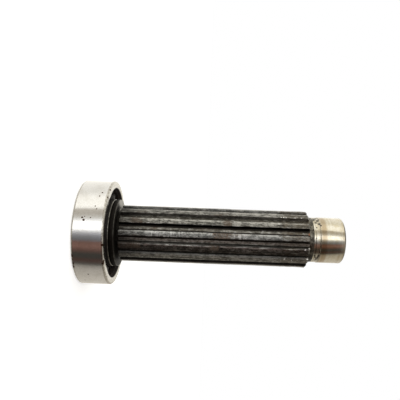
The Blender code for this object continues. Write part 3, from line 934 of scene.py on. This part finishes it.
def make_cage_half(name, side, material):
    """One pressed ribbon with soft bends, arched over every ball."""
    inner = inner_shoulder + CAGE_SIDE_CLEARANCE
    outer = outer_shoulder - CAGE_SIDE_CLEARANCE
    soft = CAGE_SHEET * 0.3
    lower_radius = ball_radius + CAGE_POCKET_CLEARANCE
    upper_radius = lower_radius + CAGE_SHEET
    lower_flat = SEAT_GAP / 2
    upper_flat = lower_flat + CAGE_SHEET
    # Points round the ribbon's section: radius, then 0 on its lower face and 1 on its upper
    edges = ((inner, 0.3), (inner + soft, 0.0), (outer - soft, 0.0), (outer, 0.3), (outer, 0.7),
             (outer - soft, 1.0), (inner + soft, 1.0), (inner, 0.7))
    rows = []
    for index in range(ball_count):
        angle = math.tau * index / ball_count
        for step in range(POCKET_STEPS + 1):
            share = 2 * step / POCKET_STEPS - 1
            lower = share * math.acos(lower_flat / lower_radius)
            upper = share * math.acos(upper_flat / upper_radius)
            low = Vector((math.sin(lower), math.cos(lower))) * lower_radius
            high = Vector((math.sin(upper), math.cos(upper))) * upper_radius
            row = []
            for radius, rise in edges:
                along, height = low + (high - low) * rise
                row.append(ribbon_point(angle, radius, along, side * height))
            rows.append(row)
    mesh, _ = skinned(name, rows, closed=True)
    placed(f"pressed_{name}", faced_outwards(mesh), "cage", [name], [material], 50)


def make_rivets(material):
    """Domed rivets, a head on each side of the cage."""
    sheet_face = SEAT_GAP / 2 + CAGE_SHEET + SEAT_GAP / 2
    dome = [(RIVET_HEAD_RADIUS * math.cos(math.radians(lift)),
             sheet_face + RIVET_HEAD_HEIGHT * math.sin(math.radians(lift)))
            for lift in (0, 20, 40, 58, 74)]
    upper = [(RIVET_RADIUS, sheet_face)] + dome
    lower = [(radius, -height) for radius, height in reversed(upper)]
    tip = Vector((0, 0, RIVET_HEAD_HEIGHT + sheet_face))
    for index in range(ball_count):
        centre = ball_place(index + 0.5)
        rows = [[point + centre for point in circle(radius, height, RIVET_STEPS)]
                for radius, height in lower + upper]
        mesh, _ = skinned(f"rivet_{index + 1}", rows, False, centre - tip, centre + tip)
        placed(f"domed_rivet_{index + 1}", mesh, "cage", [f"cage_rivet_{index + 1}"],
               [material], 40)


# The shaft

def nicks():
    """Dents on the tooth edges: tooth, side, height, length and depth."""
    dice = random.Random(11)
    made = []
    for _ in range(NICK_COUNT):
        tooth = dice.randrange(SPLINE_COUNT)
        side = dice.choice((-1, 1))
        start = PEENED_START if dice.random() < PEENED_NICKS else spline_start + NICK_MARGINS[0]
        height = dice.uniform(start, spline_end - NICK_MARGINS[1])
        made.append((tooth, side, height, dice.uniform(*NICK_LENGTHS), dice.uniform(*NICK_DEPTHS)))
    return made


edge_nicks = nicks()


def share_between(value, low, high):
    """0 below low, 1 above high and an even rise between."""
    return min(1.0, max(0.0, (value - low) / (high - low)))


def edge_rounding(tooth, side, height):
    """Radius that wear has put on a tooth's edge; side is -1 for the loaded one."""
    wander = noise.noise(Vector((tooth * 3.7, side * 5.1, height * 190)))
    plain = LOADED_EDGES[tooth] if side < 0 else EASY_EDGES[tooth]
    if side < 0 and tooth == ROLLED_TOOTH and ROLLED_START < height < ROLLED_END:
        plain += ROLLED_ROUNDING * (1 + math.sin(math.tau * ROLLED_WAVES * height))
    rounding = plain * (1.0 + EDGE_WANDER * wander)
    peened = share_between(height, PEENED_START, PEENED_START + PEENED_EDGE_RISE)
    coarse = noise.noise(Vector((tooth * 9.1, side * 2.3, height * 420)))
    rounding += peened * PEENED_ROUNDING * (0.7 + 1.3 * abs(coarse))
    for nick_tooth, nick_side, middle, length, depth in edge_nicks:
        if nick_tooth == tooth and nick_side == side:
            rounding += depth * math.exp(-((height - middle) / length) ** 2)
    return min(EDGE_ROUND_MOST, max(EDGE_ROUND_LEAST, rounding))


def rubbed_depth(tooth, side, height):
    """Depth at a height of the step that hubs have rubbed along a loaded edge."""
    if side > 0:
        return 0.0
    wander = noise.noise(Vector((tooth * 6.3, 2.0, height * 160)))
    return RUBBED_DEPTHS[tooth] * max(RUBBED_LEAST, 1.0 + RUBBED_WANDER * wander)


def half_section(tooth, side, height):
    """Half a tooth and half a groove at a height, with the tooth's middle on +X.

    The points run from the middle of the land over the rounded edge, down the
    straight flank and through the fillet to the middle of the floor.
    """
    rounding = edge_rounding(tooth, side, height)
    rubbed = rubbed_depth(tooth, side, height)
    half = TOOTH_WIDTH / 2
    half_pitch = math.pi / SPLINE_COUNT
    edge_side = half - rounding
    edge_along = math.sqrt((SPLINE_RADIUS - rounding) ** 2 - edge_side ** 2)
    edge_start = math.atan2(edge_side, edge_along)
    fillet_side = half + ROOT_FILLET
    fillet_along = math.sqrt((ROOT_RADIUS + ROOT_FILLET) ** 2 - fillet_side ** 2)
    fillet_turn = math.atan2(fillet_side, fillet_along)
    points = []
    for step in range(LAND_STEPS):
        angle = edge_start * step / LAND_STEPS
        out = share_between(SPLINE_RADIUS * angle, RUBBED_FROM, RUBBED_FULL)
        land_radius = SPLINE_RADIUS - rubbed * out * out * (3 - 2 * out)
        points.append((land_radius * math.cos(angle), land_radius * math.sin(angle)))
    edge_along -= rubbed
    points += arc((edge_along, edge_side), rounding, math.degrees(edge_start), 90, EDGE_STEPS)
    for step in range(1, FLANK_STEPS):
        along = edge_along + (fillet_along - edge_along) * step / FLANK_STEPS
        points.append((along, half))
    points += arc((fillet_along, fillet_side), ROOT_FILLET, 270, 180 + math.degrees(fillet_turn),
                  FILLET_STEPS)
    points += arc((0, 0), ROOT_RADIUS, math.degrees(fillet_turn), math.degrees(half_pitch),
                  FLOOR_STEPS)[1:]
    return points


def section(height):
    """All the teeth and grooves at a height, as (x, y) points round the shaft."""
    points = []
    for tooth in range(SPLINE_COUNT):
        turn = Matrix.Rotation(math.tau * (tooth + 0.5) / SPLINE_COUNT, 2)
        before = [(x, -y) for x, y in reversed(half_section(tooth, -1, height))]
        pitch = before[:-1] + half_section(tooth, 1, height)[:-1]
        points += [turn @ Vector(point) for point in pitch]
    return points


def uneven(point, height, across, along, depth):
    """Depth times the noise at a place, with that many waves a metre across and along."""
    return depth * noise.noise(Vector((point.x * across, point.y * across, height * along)))


def worn(point, height):
    """A point of the splines moved in or out by wear, peening and burrs."""
    radius = point.length
    on_land = share_between(radius, ROOT_RADIUS, SPLINE_RADIUS)
    peened = share_between(height, PEENED_START, PEENED_START + PEENED_LAND_RISE)
    near_end = share_between(height, spline_end - BURR_LENGTH, spline_end)
    burrs = noise.noise(Vector((point.x * BURR_WAVES + 9, point.y * BURR_WAVES, 4.0)))
    shift = uneven(point, height, *WAVY)
    shift += on_land * uneven(point, height, *PITTED)
    shift += on_land * peened * uneven(point, height, *PEENED)
    shift += on_land * near_end * BURR_HEIGHT * max(BURR_LEAST, burrs)
    if height > HUB_STEP_HEIGHT:
        shift -= on_land * HUB_STEP_DEPTH
    return point * ((radius + shift) / radius)


def spline_row(height):
    """One row of the splines, held inside the chamfers at both ends."""
    limit = min(SPLINE_RADIUS - SPLINE_START_CHAMFER + (height - spline_start),
                SPLINE_RADIUS - SPLINE_END_CHAMFER + (spline_end - height))
    row = []
    for point in section(height):
        if point.length > limit:
            point = point * (limit / point.length)
        row.append(worn(point, height).to_3d() + Vector((0, 0, height)))
    return row


def spline_heights():
    """Heights of the rows: close together at the chamfers, even between."""
    first = spline_start + SPLINE_START_CHAMFER
    last = spline_end - SPLINE_END_CHAMFER
    steps = round((last - first) / SPLINE_ROW_SPACING)
    heights = [spline_start, spline_start + SPLINE_START_CHAMFER / 2]
    heights += [first + (last - first) * step / steps for step in range(steps + 1)]
    heights += [last + SPLINE_END_CHAMFER * share for share in (0.25, 0.5, 0.75, 1.0)]
    return heights


def centre_hole(face_height, inwards):
    """The bottom of a lathe centre, and its rows from there to the mouth."""
    cone_depth = (CENTRE_HOLE_MOUTH - CENTRE_HOLE_PILOT) / math.tan(CENTRE_HOLE_CONE)
    cone_end = face_height + inwards * cone_depth
    pilot_end = cone_end + inwards * CENTRE_HOLE_PILOT_DEPTH
    tip = pilot_end + inwards * CENTRE_HOLE_PILOT * math.tan(CENTRE_HOLE_TIP)
    return tip, [(CENTRE_HOLE_PILOT, pilot_end), (CENTRE_HOLE_PILOT, cone_end),
                 (CENTRE_HOLE_MOUTH * 0.7, face_height + inwards * cone_depth * 0.48),
                 (CENTRE_HOLE_MOUTH, face_height)]


def undercut_rows():
    """Radius and height down the rough stretch, with its cutter rings."""
    rows = []
    for step in range(UNDERCUT_STEPS + 1):
        along = step / UNDERCUT_STEPS
        groove = sum(depth * math.exp(-((along - middle) / width) ** 2)
                     for middle, depth, width in CUTTER_RINGS)
        rows.append((JOURNAL_RADIUS - UNDERCUT_DEPTH - groove,
                     spline_end + UNDERCUT_LENGTH * along))
    return rows


# Places of the shaft's finishes among its materials
COLLAR, SPLINES, UNDERCUT, JOURNAL = range(4)


def make_shaft(*materials):
    """The whole shaft as one skin, with a finish for each kind of row."""
    angles = [math.atan2(point.y, point.x) for point in section(spline_start)]
    seat = BORE_RADIUS - SEAT_GAP
    corner = CORNER_BREAK
    soft = EDGE_BREAK
    start_tip, start_hole = centre_hole(shaft_base, 1)
    end_tip, end_hole = centre_hole(shaft_end, -1)
    collar_profile = [
        *start_hole,
        (seat - STUB_CHAMFER, shaft_base),
        (seat, shaft_base + STUB_CHAMFER),
        (seat, collar_base),
        *arc((collar_radius - corner, collar_base + corner), corner, -90, 0, 3),
        *arc((collar_radius - corner, collar_top - corner), corner, 0, 90, 3),
        (RELIEF_RADIUS + soft * 2, collar_top),
        (RELIEF_RADIUS, collar_top + soft * 2),
        (RELIEF_RADIUS, spline_start - soft),
        (RELIEF_RADIUS + soft, spline_start),
    ]
    journal_profile = [
        (JOURNAL_RADIUS, undercut_end + UNDERCUT_DEPTH),
        (JOURNAL_RADIUS, shaft_end - JOURNAL_CHAMFER - soft),
        (JOURNAL_RADIUS - JOURNAL_CHAMFER * 0.35, shaft_end - JOURNAL_CHAMFER * 0.60),
        (JOURNAL_RADIUS - JOURNAL_CHAMFER, shaft_end),
        *reversed(end_hole),
    ]
    undercut_profile = undercut_rows()
    rows = []
    finish_of_row = []

    def turned(pairs, finish, rough=0.0):
        for radius, height in pairs:
            rows.append(turned_row(angles, radius, height, rough))
            finish_of_row.append(finish)

    turned(collar_profile, COLLAR)
    for height in spline_heights():
        rows.append(spline_row(height))
        finish_of_row.append(SPLINES)
    turned([row for row in undercut_profile if row[1] <= rough_end], UNDERCUT, ROUGH_TURNED)
    turned([row for row in undercut_profile if row[1] > rough_end], JOURNAL, FINE_TURNED)
    turned(journal_profile, JOURNAL)
    mesh, row_of_face = skinned("shaft", rows, False, Vector((0, 0, start_tip)),
                                Vector((0, 0, end_tip)))
    placed("worn_shaft", mesh, "rotor", ["shaft"], materials)
    mesh.polygons.foreach_set("material_index", [finish_of_row[row] for row in row_of_face])


# Stage

# Size of the floor, how far it lies below the object, and its glow, which only the
# camera sees
FLOOR_SIZE = 12.0
FLOOR_DROP = 0.0002
FLOOR_GREY = (0.86, 0.86, 0.86)
FLOOR_GLOW = 0.46
# Lamp: its size and power, and its place towards the camera, down the picture and along
# the shaft
LAMP_SIZE = 0.7
LAMP_POWER = 2.0
LAMP_OUT = 0.75
LAMP_DOWN = -0.35
LAMP_ALONG = 0.8
LAMP_AIM_HEIGHT = 0.08

CREAM = (1.0, 0.975, 0.91)
WHITE = (1.0, 1.0, 1.0)
GREY = (1.0, 0.93, 0.82)
COOL = (0.97, 0.97, 1.03)
BROWN = (1.0, 0.57, 0.46)

# Studio as the metal sees it: degrees round the shaft from the camera's side,
# down the picture, then brightness and tint
STUDIO = (
    (-180, 1.35, CREAM), (-150, 1.25, CREAM), (-101, 1.12, CREAM), (-92, 1.30, CREAM),
    (-84, 1.45, CREAM), (-62, 1.50, CREAM), (-57, 1.35, CREAM), (-54.5, 0.74, GREY),
    (-50, 0.66, GREY), (-43, 0.62, GREY), (-33, 0.86, CREAM), (-28, 1.40, WHITE),
    (-24, 2.00, WHITE), (-9, 2.00, WHITE), (-7, 1.15, WHITE), (-4, 0.84, WHITE),
    (-0.5, 0.56, COOL), (3.5, 0.36, COOL), (8, 0.26, COOL), (13.5, 0.19, COOL),
    (18, 0.21, BROWN), (28, 0.25, BROWN), (36, 0.14, BROWN), (44, 0.060, GREY),
    (52, 0.058, GREY), (60, 0.085, BROWN), (70, 0.10, GREY), (75, 0.33, GREY), (86, 0.50, GREY),
    (115, 0.64, GREY), (155, 0.70, GREY), (180, 1.35, CREAM),
)
# Along the shaft the metal sees a plain grey room
ROOM_ENDS = (0.60, 0.58, 0.54)
# Share of plain grey in the light that dull surfaces get
PLAIN_SHARE = 0.25
PLAIN_GREY = (0.80, 0.80, 0.80)


def make_floor():
    """Pale floor that shows white and keeps the object's soft shadow."""
    made = bmesh.new()
    bmesh.ops.create_grid(made, x_segments=1, y_segments=1, size=FLOOR_SIZE)
    mesh = filled(bpy.data.meshes.new("floor"), made)
    floor = put_in_scene("floor", mesh)
    floor.location = (0, 0, -FLOOR_DROP)
    floor.visible_glossy = False
    material = bpy.data.materials.new("floor_white")
    material.use_nodes = True
    graph = Graph(material.node_tree)
    seen = graph.node("ShaderNodeLightPath").outputs["Is Camera Ray"]
    glow = graph.times(seen, FLOOR_GLOW)
    shader = graph.node("ShaderNodeBsdfPrincipled",
                        {"Base Color": FLOOR_GREY, "Roughness": 0.9, "Specular IOR Level": 0.0,
                         "Emission Color": WHITE, "Emission Strength": glow})
    graph.node("ShaderNodeOutputMaterial", {"Surface": shader.outputs[0]})
    mesh.materials.append(material)


def make_world():
    """White to the camera, plain soft light, and the studio for the metal."""
    world = bpy.data.worlds.new("studio")
    bpy.context.scene.world = world
    world.use_nodes = True
    graph = Graph(world.node_tree)
    direction = graph.node("ShaderNodeTexCoord").outputs["Generated"]
    down = graph.measure("DOT_PRODUCT", direction, picture_down)
    out = graph.measure("DOT_PRODUCT", direction, picture_out)
    angle = graph.math("ARCTAN2", down, out)
    share = graph.plus(graph.times(angle, 1 / math.tau), 0.5)
    rows = [(degrees / 360 + 0.5, (*[level * part for part in tint], 1.0))
            for degrees, level, tint in STUDIO]
    studio = graph.stops(share, "LINEAR", rows).outputs["Color"]
    rise = graph.math("ABSOLUTE", graph.measure("DOT_PRODUCT", direction, picture_along))
    metal_sees = graph.cover(studio, ROOM_ENDS, graph.ramp(rise, 0.60, 0.92))
    dull_gets = graph.cover(metal_sees, PLAIN_GREY, PLAIN_SHARE)
    path = graph.node("ShaderNodeLightPath").outputs
    plain, mirrored, seen = [graph.node("ShaderNodeBackground",
                                        {"Color": light, "Strength": 1.0}).outputs[0]
                             for light in (dull_gets, metal_sees, WHITE)]
    white = graph.most(path["Is Camera Ray"], path["Is Transmission Ray"])
    first = graph.node("ShaderNodeMixShader", {0: path["Is Glossy Ray"], 1: plain, 2: mirrored})
    second = graph.node("ShaderNodeMixShader", {0: white, 1: first.outputs[0], 2: seen})
    graph.node("ShaderNodeOutputWorld", {"Surface": second.outputs[0]})


def make_lamp():
    """One broad soft lamp in front of the object, for shadows on the floor."""
    lamp = bpy.data.lights.new("soft_lamp", "AREA")
    lamp.shape = "DISK"
    lamp.size = LAMP_SIZE
    lamp.energy = LAMP_POWER
    holder = put_in_scene("soft_lamp", lamp)
    place = picture_out * LAMP_OUT + picture_down * LAMP_DOWN + picture_along * LAMP_ALONG
    aim = Vector((0, 0, LAMP_AIM_HEIGHT)) - place
    holder.location = place
    holder.rotation_mode = "QUATERNION"
    holder.rotation_quaternion = aim.to_track_quat("-Z", "Y")
    holder.visible_glossy = False


def make_camera():
    """Camera of the photograph: it sees the upright shaft lying from left to right."""
    data = bpy.data.cameras.new("camera")
    data.lens = LENS
    data.sensor_width = SENSOR_WIDTH
    data.clip_start = 0.01
    data.clip_end = 50.0
    camera = put_in_scene("camera", data)
    tipped = math.cos(CAMERA_PITCH) * picture_along + math.sin(CAMERA_PITCH) * picture_out
    right = math.cos(CAMERA_ROLL) * tipped - math.sin(CAMERA_ROLL) * picture_down
    down = math.cos(CAMERA_ROLL) * picture_down + math.sin(CAMERA_ROLL) * tipped
    back = math.cos(CAMERA_PITCH) * picture_out - math.sin(CAMERA_PITCH) * picture_along
    place = Vector((0, 0, AIM_HEIGHT)) + back * CAMERA_DISTANCE
    place -= right * CAMERA_ALONG + down * CAMERA_ACROSS
    matrix = Matrix((right, -down, back)).transposed().to_4x4()
    matrix.translation = place
    camera.matrix_world = matrix
    bpy.context.scene.camera = camera


def main():
    make_camera()
    make_world()
    make_lamp()
    make_floor()
    make_shaft(collar_finish(), spline_finish(), undercut_finish(), journal_finish())
    make_outer_ring(ring_finish())
    make_inner_ring(inner_ring_finish())
    make_balls(greased_and_shaded_steel("ball_oiled_and_shaded", (0.20, 0.19, 0.17), 0.55, 0.22, 0.40))
    cage = greased_and_shaded_steel("cage_oiled_and_shaded", (0.050, 0.044, 0.036), 0.75, 0.45, 0.65)
    make_cage_half("cage_half_upper", 1, cage)
    make_cage_half("cage_half_lower", -1, cage)
    make_rivets(greased_and_shaded_steel("rivet_oiled_and_shaded", (0.075, 0.066, 0.055), 0.6, 0.40, 0.6))
    bpy.context.scene.view_settings.view_transform = "Standard"


main()
